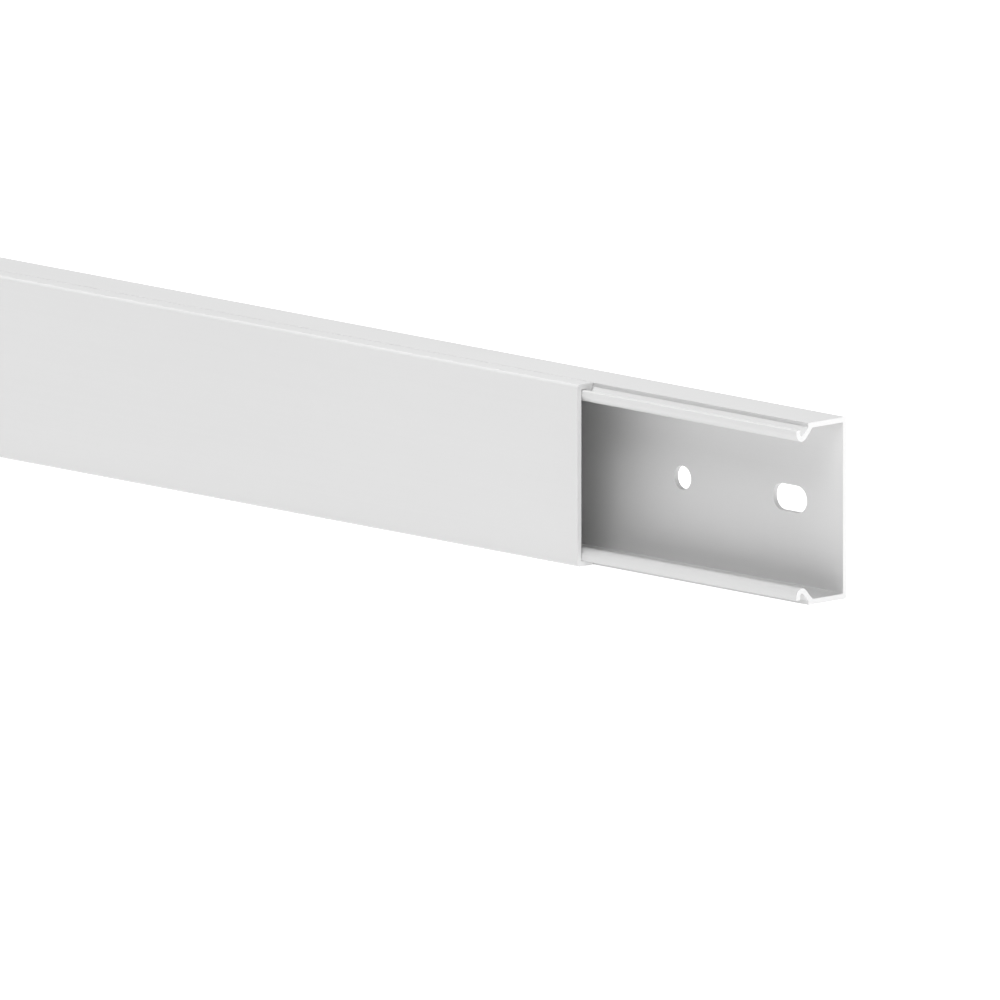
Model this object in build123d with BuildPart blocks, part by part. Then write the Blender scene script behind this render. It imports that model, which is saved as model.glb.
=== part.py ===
from build123d import *
from math import cos, floor, radians, tan
import os

# Cable trunking: a base channel that is fixed to a wall by its back, and a lid that clips over
# the channel's mouth. Both are straight extrusions of PVC with walls about 1.5 mm thick.
#
# X runs along the stock, with the open end of the channel at +X. The back, which goes against
# the wall, faces +Y and the lid faces -Y. The stock stands on one narrow side, at Z = 0.
#
# Both sections are alike above and below their middle, so each is drawn as one half and mirrored.
# A point of a section is (depth, inset): depth is measured from the back's outer face towards the
# lid, and inset is measured from the outer face of the narrow side towards the middle.

# Driving dimensions, in millimetres and degrees
stock_length = 2000.0
lid_setback = 84.0
trunk_width = 50.0

# The base channel: its side walls end in a shoulder, and a hook stands beyond each shoulder
base_wall = 1.5
side_depth = 14.5
hook_depth = 4.4
web_angle = 48.0
lip_reach = 4.9
groove_radius = 0.6
back_corner = 0.9
channel_corner = 0.35
lip_rounding = 0.35

# The lid: its front wall, and the flanges with the barbs that snap behind the base's lips
lid_wall = 1.5
flange_wall = 1.5
lid_corner = 0.6
barb_rounding = 0.3

# Clearances between lid and base, and the radii of an extruded edge and of the two at the seam
seat_gap = 0.1
shoulder_gap = 0.1
web_gap = 0.1
lip_tip_gap = 0.12
catch_gap = 0.2
barb_tip_gap = 0.7
edge_radius = 0.15
seam_rounding = 0.3

# Fixing holes in the back: a slot and a round hole make a pair, and the pair repeats
slot_width = 7.4
slot_length = 13.2
round_hole = 6.5
slot_from_end = 20.8
hole_from_slot = 42.0
pair_pitch = 250.0

# The overall box, with the origin below the middle of the lid and base together
lip_depth = side_depth + hook_depth
overall_length = stock_length + lid_setback
overall_depth = lip_depth + seat_gap + lid_wall
open_end_x = overall_length / 2
base_start_x = open_end_x - stock_length
lid_start_x = -overall_length / 2
wall_face_y = overall_depth / 2

# The base's U bend: the lip, the groove and the web are all tangent to circles about its centre
lip_back = lip_depth - base_wall
bend_depth = lip_back - groove_radius
bend_inset = lip_reach - base_wall - groove_radius
bend_radius = groove_radius + base_wall

# The lid's barb, which fills the groove but for the clearances
flange_rear = side_depth + shoulder_gap
lip_tip_inset = flange_wall + lip_tip_gap
barb_catch = lip_back - catch_gap
barb_tip_inset = bend_inset + groove_radius - barb_tip_gap
ramp_radius = groove_radius - web_gap
lid_inside = lip_depth + seat_gap


def web_inset(depth: float, radius: float) -> float:
    """Inset at a depth of the web-parallel line that is tangent to a circle about the bend."""
    slope = radians(web_angle)
    return bend_inset + radius / cos(slope) + (depth - bend_depth) * tan(slope)


def web_depth(inset: float, radius: float) -> float:
    """Depth at which the same line reaches an inset."""
    slope = radians(web_angle)
    return bend_depth + (inset - bend_inset - radius / cos(slope)) / tan(slope)


def section_plane(x: float) -> Plane:
    """Plane across the stock at x: its own X points to the wall and its own Y points up."""
    return Plane(origin=(x, 0, trunk_width / 2), x_dir=(0, 1, 0), z_dir=(1, 0, 0))


def half_outline(middle_start: float, corners: list, middle_end: float) -> FilletPolyline:
    """Lower half of a section, from its middle line round its rounded corners to that line."""
    places = [(middle_start, trunk_width / 2), *[place for place, _ in corners], (middle_end, trunk_width / 2)]
    points = [(wall_face_y - depth, inset - trunk_width / 2) for depth, inset in places]
    return FilletPolyline(*points, radius=[radius for _, radius in corners])


# Each corner is its (depth, inset) and its radius
base_corners = [
    ((0, 0), back_corner),
    ((side_depth, 0), seam_rounding),
    ((side_depth, web_inset(side_depth, groove_radius)), edge_radius),
    ((lip_back, web_inset(lip_back, groove_radius)), groove_radius),
    ((lip_back, lip_tip_inset), lip_rounding),
    ((lip_depth, lip_tip_inset), lip_rounding),
    ((lip_depth, web_inset(lip_depth, bend_radius)), bend_radius),
    ((web_depth(base_wall, bend_radius), base_wall), edge_radius),
    ((base_wall, base_wall), channel_corner),
]
lid_corners = [
    ((overall_depth, 0), lid_corner),
    ((flange_rear, 0), seam_rounding),
    ((flange_rear, web_inset(flange_rear, ramp_radius)), edge_radius),
    ((web_depth(barb_tip_inset, ramp_radius), barb_tip_inset), barb_rounding),
    ((barb_catch, barb_tip_inset), barb_rounding),
    ((barb_catch, flange_wall), edge_radius),
    ((lid_inside, flange_wall), edge_radius),
]

# The fixing holes' places along the stock, as many pairs as the length takes
first_slot_x = open_end_x - slot_from_end
room_for_pairs = stock_length - 2 * slot_from_end - hole_from_slot
pair_count = 1 + floor(room_for_pairs / pair_pitch)
slot_places = [(first_slot_x - pair * pair_pitch, 0) for pair in range(pair_count)]
hole_places = [(x - hole_from_slot, 0) for x, _ in slot_places]
wall_face = Plane(origin=(0, wall_face_y, trunk_width / 2), x_dir=(1, 0, 0), z_dir=(0, 1, 0))

# The base channel
with BuildPart() as base_channel:
    with BuildSketch(section_plane(base_start_x)):
        with BuildLine():
            half_outline(0, base_corners, base_wall)
            mirror(about=Plane.XZ)
        make_face()
    extrude(amount=stock_length)

    with BuildSketch(wall_face):
        with Locations(*slot_places):
            SlotOverall(slot_length, slot_width)
        with Locations(*hole_places):
            Circle(round_hole / 2)
    extrude(amount=-2 * base_wall, mode=Mode.SUBTRACT)

# The lid, as long as the base and set back from its open end
with BuildPart() as clip_on_lid:
    with BuildSketch(section_plane(lid_start_x)):
        with BuildLine():
            half_outline(overall_depth, lid_corners, lid_inside)
            mirror(about=Plane.XZ)
        make_face()
    extrude(amount=stock_length)

base_channel.part.label = "base_channel"
clip_on_lid.part.label = "clip_on_lid"

os.makedirs("parts", exist_ok=True)
export_step(base_channel.part, "parts/base_channel.step")
export_step(clip_on_lid.part, "parts/clip_on_lid.step")
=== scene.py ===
from dataclasses import dataclass, field
import logging
import math

import bmesh
import bpy
from mathutils import Matrix, Vector


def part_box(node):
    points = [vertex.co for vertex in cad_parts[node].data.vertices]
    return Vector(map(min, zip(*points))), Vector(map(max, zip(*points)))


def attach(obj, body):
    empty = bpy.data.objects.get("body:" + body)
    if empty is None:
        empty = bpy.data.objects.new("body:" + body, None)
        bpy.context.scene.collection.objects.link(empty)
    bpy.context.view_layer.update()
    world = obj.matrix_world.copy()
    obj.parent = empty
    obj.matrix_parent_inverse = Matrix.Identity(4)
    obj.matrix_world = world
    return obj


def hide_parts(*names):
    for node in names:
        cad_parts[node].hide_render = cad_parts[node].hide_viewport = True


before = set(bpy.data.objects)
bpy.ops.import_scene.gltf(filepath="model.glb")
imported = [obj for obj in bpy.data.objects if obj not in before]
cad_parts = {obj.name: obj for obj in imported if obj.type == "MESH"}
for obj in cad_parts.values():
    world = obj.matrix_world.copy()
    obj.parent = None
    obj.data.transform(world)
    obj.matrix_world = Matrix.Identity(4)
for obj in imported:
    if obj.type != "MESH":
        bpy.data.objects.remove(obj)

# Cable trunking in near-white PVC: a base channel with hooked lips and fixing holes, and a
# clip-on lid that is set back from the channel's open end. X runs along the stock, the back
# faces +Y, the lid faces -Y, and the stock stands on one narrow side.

log = logging.getLogger("trunking")

MM = 0.001
TOUCH = 1e-7
PVC_IOR = 1.46
WHITE = (1.0, 1.0, 1.0, 1.0)


class Socket:
    """A number on its way through a material, which adds Math nodes as it is worked with."""

    def __init__(self, tree: "ShaderTree", out: bpy.types.NodeSocket) -> None:
        """Wrap an output socket of a tree."""
        self.tree = tree
        self.out = out

    def _math(self, operation: str, first: "Socket | float", second: "Socket | float") -> "Socket":
        """Add a Math node.

        Args:
            operation: The Math node's operation.
            first: Its first value.
            second: Its second value.

        Returns:
            The node's result.
        """
        settings = {"operation": operation}
        return self.tree.node("ShaderNodeMath", settings, {0: first, 1: second})

    def __add__(self, other: "Socket | float") -> "Socket":
        """Sum."""
        return self._math("ADD", self, other)

    def __radd__(self, other: float) -> "Socket":
        """Sum with the number first."""
        return self._math("ADD", other, self)

    def __mul__(self, other: "Socket | float") -> "Socket":
        """Product."""
        return self._math("MULTIPLY", self, other)

    def __rmul__(self, other: float) -> "Socket":
        """Product with the number first."""
        return self._math("MULTIPLY", other, self)


class ShaderTree:
    """The nodes of one material."""

    # The Mix node's colour sockets, by number, because its other kinds go by the same names
    MIX_LOW, MIX_HIGH, MIX_RESULT = 6, 7, 2

    def __init__(self, name: str) -> None:
        """Start a material with nothing but its Principled shader.

        Args:
            name: The material's name.
        """
        self.material = bpy.data.materials.new(name)
        self.material.use_nodes = True
        self.shader = self.material.node_tree.nodes["Principled BSDF"]

    def node(self, kind: str, settings: dict, inputs: dict, out: int | str = 0) -> Socket:
        """Add a node.

        Args:
            kind: The node's type.
            settings: Its own properties, set before its sockets.
            inputs: A value or a link for each socket, by name or number.
            out: The output that is wanted.

        Returns:
            That output.
        """
        made = self.material.node_tree.nodes.new(kind)
        for name, value in settings.items():
            setattr(made, name, value)
        for name, value in inputs.items():
            self.feed(made.inputs[name], value)
        return Socket(self, made.outputs[out])

    def feed(self, socket: bpy.types.NodeSocket, value: "Socket | float | tuple") -> None:
        """Link a socket to a result, or set its value.

        Args:
            socket: The socket to feed.
            value: What it gets.
        """
        if isinstance(value, Socket):
            self.material.node_tree.links.new(value.out, socket)
        else:
            socket.default_value = value

    def stretched(self, scale: tuple[float, float, float]) -> Socket:
        """The piece's own coordinates, stretched by a factor along each axis."""
        own = self.node("ShaderNodeTexCoord", {}, {}, "Object")
        return self.node("ShaderNodeMapping", {}, {"Vector": own, "Scale": scale})

    def noise(self, scale: tuple[float, float, float], detail: float) -> Socket:
        """A noise of about 0 to 1, with its own scale along each axis."""
        inputs = {"Vector": self.stretched(scale), "Scale": 1.0, "Detail": detail}
        return self.node("ShaderNodeTexNoise", {}, inputs)

    def grey(self, low: float, high: float, share: Socket) -> Socket:
        """A grey between two shades.

        Args:
            low: The shade at a share of 0.
            high: The shade at a share of 1.
            share: How far it lies towards the second.

        Returns:
            The grey.
        """
        inputs = {
            "Factor": share,
            self.MIX_LOW: (low, low, low, 1.0),
            self.MIX_HIGH: (high, high, high, 1.0),
        }
        return self.node("ShaderNodeMix", {"data_type": "RGBA"}, inputs, self.MIX_RESULT)

    def bump(self, height: Socket, depth: float) -> None:
        """Give the surface a relief of a depth in metres."""
        inputs = {"Height": height, "Distance": depth, "Strength": 1.0}
        self.feed(self.shader.inputs["Normal"], self.node("ShaderNodeBump", {}, inputs))

    def set(self, **values: "Socket | float | tuple") -> None:
        """Set or link the shader's own sockets, with _ for the blanks in their names."""
        for name, value in values.items():
            self.feed(self.shader.inputs[name.replace("_", " ")], value)


@dataclass(frozen=True)
class ExtrudedPvc:
    """The drawn skin of the extrusion: satin, faintly mottled, with fine lengthwise lines."""

    name: str
    shade: float = 0.648
    mottle: float = 0.022
    line_share: float = 0.3
    roughness: float = 0.36
    roughness_spread: float = 0.12
    relief: float = 0.004 * MM
    grain_share: float = 0.3
    patch_scale: tuple[float, float, float] = (9.0, 34.0, 34.0)
    patch_detail: float = 3.0
    line_scale: tuple[float, float, float] = (2.5, 1400.0, 1400.0)
    grain_scale: tuple[float, float, float] = (2600.0, 2600.0, 2600.0)
    fine_detail: float = 2.0

    def build(self) -> bpy.types.Material:
        """Make the material.

        Returns:
            The material.
        """
        tree = ShaderTree(self.name)
        patches = tree.noise(self.patch_scale, self.patch_detail)
        lines = tree.noise(self.line_scale, self.fine_detail)
        grain = tree.noise(self.grain_scale, self.fine_detail)
        tone = (1 - self.line_share) * patches + self.line_share * lines
        tree.set(
            Base_Color=tree.grey(self.shade - self.mottle, self.shade + self.mottle, tone),
            Roughness=self.roughness + self.roughness_spread * patches,
            IOR=PVC_IOR,
        )
        tree.bump((1 - self.grain_share) * lines + self.grain_share * grain, self.relief)
        return tree.material


@dataclass(frozen=True)
class SawnPvc:
    """A sawn end: whiter than the skin and dull, with the faint marks of the blade."""

    name: str
    shade: float = 0.965
    mottle: float = 0.03
    roughness: float = 0.7
    roughness_spread: float = 0.15
    relief: float = 0.012 * MM
    fuzz_share: float = 0.4
    mark_scale: tuple[float, float, float] = (400.0, 300.0, 5200.0)
    mark_detail: float = 2.0
    fuzz_scale: tuple[float, float, float] = (3000.0, 3000.0, 3000.0)
    fuzz_detail: float = 3.0

    def build(self) -> bpy.types.Material:
        """Make the material.

        Returns:
            The material.
        """
        tree = ShaderTree(self.name)
        marks = tree.noise(self.mark_scale, self.mark_detail)
        fuzz = tree.noise(self.fuzz_scale, self.fuzz_detail)
        tree.set(
            Base_Color=tree.grey(self.shade - self.mottle, self.shade, marks),
            Roughness=self.roughness + self.roughness_spread * fuzz,
            IOR=PVC_IOR,
        )
        tree.bump((1 - self.fuzz_share) * marks + self.fuzz_share * fuzz, self.relief)
        return tree.material


@dataclass(frozen=True)
class Corner:
    """A corner of a section: its depth from the back, its inset from the side, and its radius."""

    depth: float
    inset: float
    radius: float


class SectionPen:
    """Draws one half of a section across the stock, as straight lines and round corners."""

    ARC_STEP = math.radians(6.0)
    LEAST_STEPS = 2

    def __init__(self, bm: bmesh.types.BMesh, x: float, wall_y: float, middle: float) -> None:
        """Ready the pen, with the section's middle at Z = 0.

        Args:
            bm: The mesh to draw in.
            x: The place of the section's plane, along the stock.
            wall_y: Where the back's outer face lies.
            middle: The inset of the section's middle.
        """
        self.bm = bm
        self.x = x
        self.wall_y = wall_y
        self.middle = middle

    def place(self, corner: Corner) -> Vector:
        """The corner's sharp point."""
        return Vector((self.x, self.wall_y - corner.depth, corner.inset - self.middle))

    def line_to(self, tip: bmesh.types.BMVert, point: Vector) -> bmesh.types.BMVert:
        """Draw a straight line.

        Args:
            tip: Where the pen stands.
            point: Where the line ends.

        Returns:
            The new tip.
        """
        drawn = bmesh.ops.extrude_vert_indiv(self.bm, verts=[tip])["verts"][0]
        drawn.co = point
        return drawn

    def round_corner(
        self, tip: bmesh.types.BMVert, corner: Corner, before: Vector, after: Vector
    ) -> bmesh.types.BMVert:
        """Draw up to a corner and round it with a tangent arc.

        Args:
            tip: Where the pen stands.
            corner: The corner to round.
            before: The sharp point before it.
            after: The sharp point after it.

        Returns:
            The new tip, at the arc's end.
        """
        point = self.place(corner)
        came = (point - before).normalized()
        goes = (after - point).normalized()
        turn = came.angle(goes)
        side = came.cross(goes).normalized()
        reach = corner.radius * math.tan(turn / 2)
        start = point - came * reach
        tip = self.line_to(tip, start)
        centre = start + side.cross(came) * corner.radius
        spun = bmesh.ops.spin(
            self.bm,
            geom=[tip],
            cent=centre,
            axis=side,
            angle=turn,
            steps=max(self.LEAST_STEPS, round(turn / self.ARC_STEP)),
            use_merge=False,
            use_duplicate=False,
        )
        return spun["geom_last"][0]

    def draw(self, corners: list[Corner]) -> None:
        """Draw from the first place to the last, rounding every corner between them.

        Args:
            corners: The places, in order.
        """
        points = [self.place(corner) for corner in corners]
        tip = bmesh.ops.create_vert(self.bm, co=points[0])["vert"][0]
        for before, corner, after in zip(points, corners[1:-1], points[2:]):
            tip = self.round_corner(tip, corner, before, after)
        self.line_to(tip, points[-1])


@dataclass
class HookProfile:
    """The hook at the channel's mouth, in metres, and the lines that run along its web."""

    side_depth: float = 14.5 * MM
    hook_depth: float = 4.4 * MM
    web_angle: float = math.radians(48.0)
    lip_reach: float = 4.9 * MM
    base_wall: float = 1.5 * MM
    groove_radius: float = 0.6 * MM

    @property
    def lip_depth(self) -> float:
        """Depth of the lip's front face."""
        return self.side_depth + self.hook_depth

    @property
    def lip_back(self) -> float:
        """Depth of the lip's rear face."""
        return self.lip_depth - self.base_wall

    @property
    def bend_depth(self) -> float:
        """Depth of the bend's centre."""
        return self.lip_back - self.groove_radius

    @property
    def bend_inset(self) -> float:
        """Inset of the bend's centre."""
        return self.lip_reach - self.base_wall - self.groove_radius

    @property
    def bend_radius(self) -> float:
        """Outer radius of the bend."""
        return self.groove_radius + self.base_wall

    def web_inset(self, depth: float, radius: float) -> float:
        """Inset at a depth of the web-parallel line that is tangent to a circle about the bend."""
        rise = (depth - self.bend_depth) * math.tan(self.web_angle)
        return self.bend_inset + radius / math.cos(self.web_angle) + rise

    def web_depth(self, inset: float, radius: float) -> float:
        """Depth at which the same line reaches an inset."""
        rise = inset - self.bend_inset - radius / math.cos(self.web_angle)
        return self.bend_depth + rise / math.tan(self.web_angle)


@dataclass
class Extrusion:
    """A straight length of one section, between the lowest and highest corner of its node."""

    node: str
    piece_name: str
    slot: str
    body: str
    hook: HookProfile
    skin: bpy.types.Material
    sawn: bpy.types.Material
    edge_radius: float = 0.15 * MM
    seam_rounding: float = 0.1 * MM
    saw_break: float = 0.06 * MM
    sawn_facing: float = 0.9
    arc_facet: float = 0.9 * MM
    smooth_turn: float = math.radians(20.0)
    wall_y: float = field(init=False)
    start_x: float = field(init=False)
    end_x: float = field(init=False)
    width: float = field(init=False)

    def __post_init__(self) -> None:
        """Take the places along and across the stock from the frame."""
        low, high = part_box(self.node)
        self.start_x, self.end_x = low[0], high[0]
        self.width = high[2] - low[2]
        self.wall_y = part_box("base_channel")[1][1]

    def corners(self) -> list[Corner]:
        """The half section, from its middle line to its middle line."""
        raise NotImplementedError

    def extrude(self, bm: bmesh.types.BMesh) -> None:
        """Draw the half section, mirror it, fill it and draw it out to the stock's length.

        Args:
            bm: The mesh to build in.
        """
        SectionPen(bm, self.start_x, self.wall_y, self.width / 2).draw(self.corners())
        bmesh.ops.mirror(bm, geom=bm.verts[:] + bm.edges[:], merge_dist=TOUCH, axis="Z")
        bmesh.ops.translate(bm, verts=bm.verts[:], vec=(0, 0, self.width / 2))
        bmesh.ops.contextual_create(bm, geom=bm.edges[:])
        drawn = bmesh.ops.extrude_face_region(bm, geom=bm.faces[:])["geom"]
        verts = [item for item in drawn if isinstance(item, bmesh.types.BMVert)]
        bmesh.ops.translate(bm, verts=verts, vec=(self.end_x - self.start_x, 0, 0))
        bmesh.ops.recalc_face_normals(bm, faces=bm.faces[:])

    def break_sawn_edges(self, bm: bmesh.types.BMesh) -> None:
        """Take the sharpness off both sawn ends.

        Args:
            bm: The extruded length.
        """
        ends = (self.start_x, self.end_x)
        rims = [
            edge
            for edge in bm.edges
            if any(all(abs(v.co.x - x) < TOUCH for v in edge.verts) for x in ends)
        ]
        bmesh.ops.bevel(
            bm,
            geom=rims,
            offset=self.saw_break,
            offset_type="OFFSET",
            affect="EDGES",
            segments=1,
            profile=0.5,
            material=-1,
            clamp_overlap=False,
        )

    def refine(self, piece: bpy.types.Object) -> None:
        """Cut what the plain extrusion lacks. A lid has nothing to cut."""

    def dress(self, mesh: bpy.types.Mesh) -> None:
        """Give the sawn ends their own finish, and shade the arcs smooth between flat faces.

        Args:
            mesh: The finished piece's mesh.
        """
        mesh.materials.append(self.skin)
        mesh.materials.append(self.sawn)
        bm = bmesh.new()
        bm.from_mesh(mesh)
        for face in bm.faces:
            x = face.calc_center_median().x
            at_end = min(x - self.start_x, self.end_x - x) < self.saw_break
            is_sawn = at_end and abs(face.normal.x) > self.sawn_facing
            face.material_index = 1 if is_sawn else 0
            face.smooth = True
        # Faces larger than the widest facet of an arc are the flats, which keep sharp edges
        facet_area = self.arc_facet * (self.end_x - self.start_x)
        for edge in bm.edges:
            faces = edge.link_faces
            in_arc = edge.is_manifold and all(face.calc_area() < facet_area for face in faces)
            edge.smooth = in_arc and edge.calc_face_angle() < self.smooth_turn
        bm.to_mesh(mesh)
        bm.free()

    def build(self) -> bpy.types.Object:
        """Make the piece and put it on its body in place of its node.

        Returns:
            The piece.
        """
        bm = bmesh.new()
        self.extrude(bm)
        self.break_sawn_edges(bm)
        mesh = bpy.data.meshes.new(self.piece_name)
        bm.to_mesh(mesh)
        bm.free()
        piece = bpy.data.objects.new(self.piece_name, mesh)
        bpy.context.scene.collection.objects.link(piece)
        self.refine(piece)
        self.dress(piece.data)
        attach(piece, self.body)
        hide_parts(self.node)
        return piece


@dataclass
class BaseChannel(Extrusion):
    """The channel that is screwed to the wall, with its hooks and its row of fixing holes."""

    back_corner: float = 0.9 * MM
    channel_corner: float = 0.35 * MM
    lip_rounding: float = 0.35 * MM
    lip_tip_inset: float = 1.62 * MM
    slot_width: float = 7.4 * MM
    slot_length: float = 13.2 * MM
    round_hole: float = 6.5 * MM
    slot_from_end: float = 20.8 * MM
    hole_from_slot: float = 42.0 * MM
    pair_pitch: float = 250.0 * MM
    punch_break: float = 0.05 * MM
    hole_segments: int = 64

    def corners(self) -> list[Corner]:
        """The half section: the back, the side, the shoulder, round the hook and back inside.

        Returns:
            Its corners, from the middle line to the middle line.
        """
        hook, wall, edge = self.hook, self.hook.base_wall, self.edge_radius
        groove, bend = hook.groove_radius, hook.bend_radius
        return [
            Corner(0.0, self.width / 2, 0.0),
            Corner(0.0, 0.0, self.back_corner),
            Corner(hook.side_depth, 0.0, self.seam_rounding),
            Corner(hook.side_depth, hook.web_inset(hook.side_depth, groove), edge),
            Corner(hook.lip_back, hook.web_inset(hook.lip_back, groove), groove),
            Corner(hook.lip_back, self.lip_tip_inset, self.lip_rounding),
            Corner(hook.lip_depth, self.lip_tip_inset, self.lip_rounding),
            Corner(hook.lip_depth, hook.web_inset(hook.lip_depth, bend), bend),
            Corner(hook.web_depth(wall, bend), wall, edge),
            Corner(wall, wall, self.channel_corner),
            Corner(wall, self.width / 2, 0.0),
        ]

    def punch(self, bm: bmesh.types.BMesh, x: float, width: float, length: float) -> None:
        """Add the open-ended tube that one hole takes out of the back, flared at both faces.

        Args:
            bm: The mesh that holds all the punches.
            x: The hole's place along the stock.
            width: The hole's width, across the stock.
            length: Its length along the stock, as long as the width in a round hole.
        """
        # The tube starts outside the back and ends inside the channel, by as much as the flares
        # open at each face. Each ring is how far on it lies, and how much wider it is
        rim = 2 * self.punch_break
        flare = 1 + 2 * rim / width
        rings = ((rim, 1 / flare), (self.hook.base_wall - rim, 1.0), (rim, flare))
        centre = Vector((x, self.wall_y + self.punch_break, self.width / 2))
        half_step = Matrix.Rotation(math.pi / self.hole_segments, 4, "Z")
        facing = Matrix.Translation(centre) @ Matrix.Rotation(math.radians(90), 4, "X") @ half_step
        ring = bmesh.ops.create_circle(
            bm, radius=flare * width / 2, segments=self.hole_segments, matrix=facing
        )["verts"]
        tube = list(ring)
        edges = list({edge for vert in ring for edge in vert.link_edges})
        for depth, growth in rings:
            drawn = bmesh.ops.extrude_edge_only(bm, edges=edges)["geom"]
            edges = [item for item in drawn if isinstance(item, bmesh.types.BMEdge)]
            ring = [item for item in drawn if isinstance(item, bmesh.types.BMVert)]
            bmesh.ops.translate(bm, verts=ring, vec=(0, -depth, 0))
            about = Matrix.Translation(-centre)
            bmesh.ops.scale(bm, verts=ring, vec=(growth, 1, growth), space=about)
            tube += ring
        # A slot is the round tube with its halves drawn apart
        for side in (-1, 1):
            half = [vert for vert in tube if (vert.co.x - x) * side > 0]
            bmesh.ops.translate(bm, verts=half, vec=(side * (length - width) / 2, 0, 0))

    def refine(self, piece: bpy.types.Object) -> None:
        """Punch the fixing holes: a slot and a round hole in turn.

        Args:
            piece: The channel, before its holes.
        """
        bm = bmesh.new()
        slot_x = self.end_x - self.slot_from_end
        while slot_x - self.hole_from_slot - self.slot_from_end > self.start_x:
            self.punch(bm, slot_x, self.slot_width, self.slot_length)
            self.punch(bm, slot_x - self.hole_from_slot, self.round_hole, self.round_hole)
            slot_x -= self.pair_pitch
        bmesh.ops.holes_fill(bm, edges=bm.edges[:], sides=self.hole_segments)
        bmesh.ops.recalc_face_normals(bm, faces=bm.faces[:])
        punches = bpy.data.meshes.new("punches")
        bm.to_mesh(punches)
        bm.free()
        tool = bpy.data.objects.new("punches", punches)
        bpy.context.scene.collection.objects.link(tool)
        cut = piece.modifiers.new("holes", "BOOLEAN")
        cut.operation, cut.solver, cut.object = "DIFFERENCE", "EXACT", tool
        graph = bpy.context.evaluated_depsgraph_get()
        cut_mesh = bpy.data.meshes.new_from_object(piece.evaluated_get(graph))
        piece.modifiers.clear()
        piece.data = cut_mesh
        cut_mesh.name = self.piece_name
        bpy.data.objects.remove(tool)


@dataclass
class ClipOnLid(Extrusion):
    """The lid: a flat front, and a flange down each side with a ramped barb."""

    flange_wall: float = 1.5 * MM
    lid_wall: float = 1.5 * MM
    lid_corner: float = 0.9 * MM
    barb_rounding: float = 0.3 * MM
    seat_gap: float = 0.1 * MM
    shoulder_gap: float = 0.25 * MM
    web_gap: float = 0.1 * MM
    catch_gap: float = 0.2 * MM
    barb_tip_gap: float = 0.7 * MM

    def corners(self) -> list[Corner]:
        """The half section: the front, down the flange, round the barb and back inside.

        Returns:
            Its corners, from the middle line to the middle line.
        """
        hook, edge = self.hook, self.edge_radius
        inside = hook.lip_depth + self.seat_gap
        front = inside + self.lid_wall
        rear = hook.side_depth + self.shoulder_gap
        ramp = hook.groove_radius - self.web_gap
        tip = hook.bend_inset + hook.groove_radius - self.barb_tip_gap
        catch = hook.lip_back - self.catch_gap
        return [
            Corner(front, self.width / 2, 0.0),
            Corner(front, 0.0, self.lid_corner),
            Corner(rear, 0.0, self.seam_rounding),
            Corner(rear, hook.web_inset(rear, ramp), edge),
            Corner(hook.web_depth(tip, ramp), tip, self.barb_rounding),
            Corner(catch, tip, self.barb_rounding),
            Corner(catch, self.flange_wall, edge),
            Corner(inside, self.flange_wall, edge),
            Corner(inside, self.width / 2, 0.0),
        ]


@dataclass
class PhotoCamera:
    """The photograph's parallel view of the open end."""

    azimuth: float = math.radians(46.38)
    elevation: float = math.radians(10.37)
    pixels_per_metre: float = 3703.0
    image_pixels: float = 1000.0
    corner_pixel: tuple[float, float] = (847.0, 416.26)
    distance: float = 2.0
    nearest: float = 0.01
    farthest: float = 50.0

    def build(self) -> None:
        """Aim the camera so that the open end's upper back corner falls on its pixel."""
        turn, tilt = self.azimuth, self.elevation
        right = Vector((math.cos(turn), math.sin(turn), 0))
        away = Vector((-math.sin(turn), math.cos(turn), 0))
        up = away * math.sin(tilt) + Vector((0, 0, math.cos(tilt)))
        back = right.cross(up)
        corner = Vector(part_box("base_channel")[1])
        middle = self.image_pixels / 2
        aside = (self.corner_pixel[0] - middle) / self.pixels_per_metre
        above = (middle - self.corner_pixel[1]) / self.pixels_per_metre
        target = corner - right * aside - up * above
        data = bpy.data.cameras.new("photo_camera")
        data.type = "ORTHO"
        data.ortho_scale = self.image_pixels / self.pixels_per_metre
        data.clip_start, data.clip_end = self.nearest, self.farthest
        camera = bpy.data.objects.new("photo_camera", data)
        facing = Matrix((right, up, back)).transposed().to_4x4()
        camera.matrix_world = Matrix.Translation(target + back * self.distance) @ facing
        bpy.context.scene.collection.objects.link(camera)
        bpy.context.scene.camera = camera


@dataclass(frozen=True)
class SoftLamp:
    """A far lamp as wide as a softbox, lighting every part of the stock alike."""

    name: str
    azimuth: float
    elevation: float
    strength: float
    width: float = math.radians(30.0)

    def build(self) -> None:
        """Hang the lamp. Its azimuth is measured from the front, towards the open end."""
        data = bpy.data.lights.new(self.name, "SUN")
        data.energy = self.strength
        data.angle = self.width
        level = Vector((math.sin(self.azimuth), -math.cos(self.azimuth), 0))
        comes_from = level * math.cos(self.elevation) + Vector((0, 0, math.sin(self.elevation)))
        lamp = bpy.data.objects.new(self.name, data)
        lamp.rotation_mode = "QUATERNION"
        lamp.rotation_quaternion = comes_from.to_track_quat("Z", "Y")
        bpy.context.scene.collection.objects.link(lamp)


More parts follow.
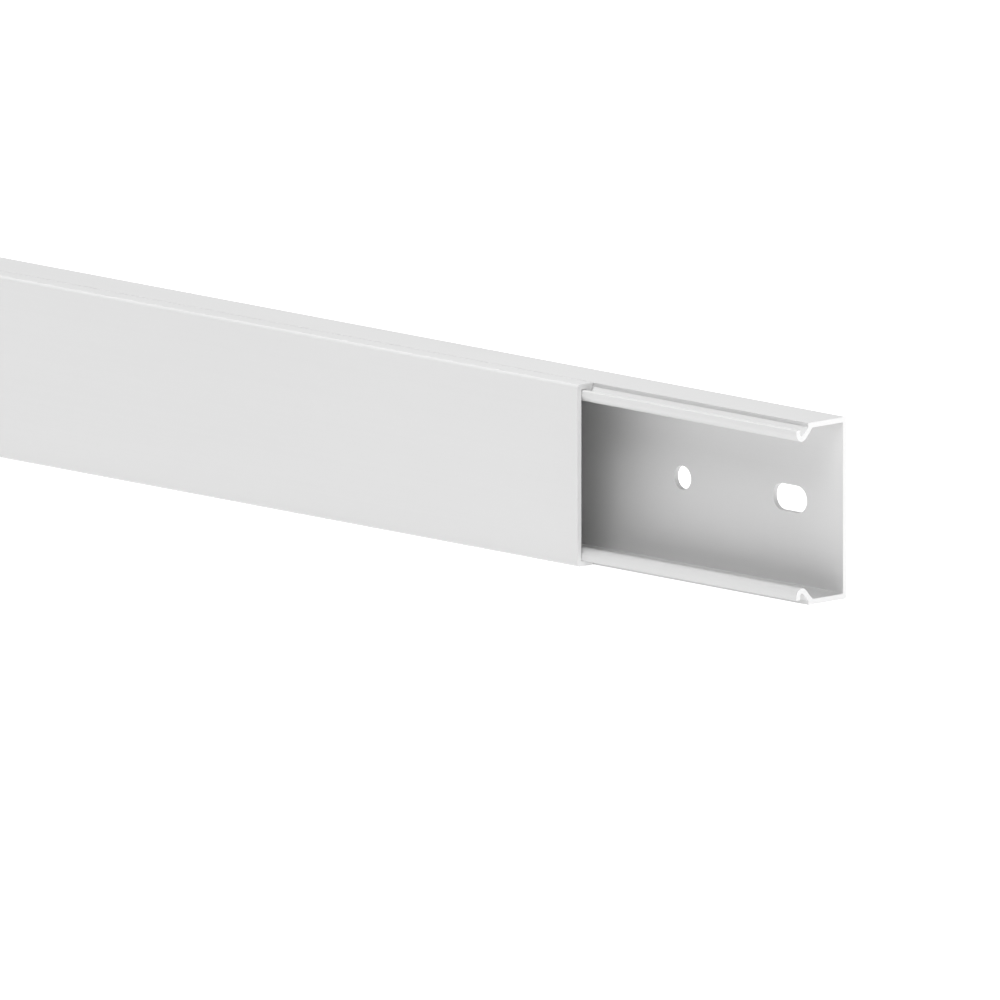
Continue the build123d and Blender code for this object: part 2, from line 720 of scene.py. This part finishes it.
@dataclass
class Studio:
    """A white floor that glows, a dim surround and three soft lamps."""

    floor_half: float = 12.0
    floor_shade: float = 0.35
    floor_roughness: float = 0.9
    floor_glow: float = 0.96
    surround: float = 0.3
    lamps: tuple[SoftLamp, ...] = (
        SoftLamp("lengthwise_lamp", math.radians(-90.0), math.radians(75.0), strength=2.45),
        SoftLamp("key_lamp", math.radians(30.0), math.radians(48.0), strength=0.9),
        SoftLamp("end_lamp", math.radians(60.0), math.radians(35.0), strength=0.31),
    )

    def floor(self) -> None:
        """Lay the pale floor under the stock."""
        tree = ShaderTree("floor_paper")
        tree.set(
            Base_Color=(self.floor_shade, self.floor_shade, self.floor_shade, 1.0),
            Roughness=self.floor_roughness,
            Emission_Color=WHITE,
            Emission_Strength=self.floor_glow,
        )
        bm = bmesh.new()
        bmesh.ops.create_grid(bm, x_segments=1, y_segments=1, size=self.floor_half)
        mesh = bpy.data.meshes.new("floor")
        bm.to_mesh(mesh)
        bm.free()
        mesh.materials.append(tree.material)
        floor = bpy.data.objects.new("floor", mesh)
        bpy.context.scene.collection.objects.link(floor)

    def light(self) -> None:
        """Light the surround and hang the lamps."""
        world = bpy.data.worlds.new("surround")
        world.use_nodes = True
        background = world.node_tree.nodes["Background"]
        background.inputs["Color"].default_value = WHITE
        background.inputs["Strength"].default_value = self.surround
        bpy.context.scene.world = world
        for lamp in self.lamps:
            lamp.build()

    def build(self) -> None:
        """Lay the floor, light it and show colours as they are."""
        self.floor()
        self.light()
        bpy.context.scene.view_settings.view_transform = "Standard"


def main() -> None:
    """Build the trunking and its studio in order."""
    logging.basicConfig(level=logging.INFO, format="%(name)s %(message)s")
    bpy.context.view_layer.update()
    hook = HookProfile()
    base = BaseChannel(
        node="base_channel",
        piece_name="trunking_base",
        slot="base_pvc",
        body="base",
        hook=hook,
        skin=ExtrudedPvc("base_skin").build(),
        sawn=SawnPvc("sawn_base_end").build(),
    )
    lid = ClipOnLid(
        node="clip_on_lid",
        piece_name="trunking_lid",
        slot="lid_pvc",
        body="lid",
        hook=hook,
        skin=ExtrudedPvc("lid_skin").build(),
        sawn=SawnPvc("sawn_lid_end", shade=0.785).build(),
    )
    for length in (base, lid):
        piece = length.build()
        log.info("%s: %d faces", piece.name, len(piece.data.polygons))
    Studio().build()
    PhotoCamera().build()


if __name__ == "__main__":
    main()
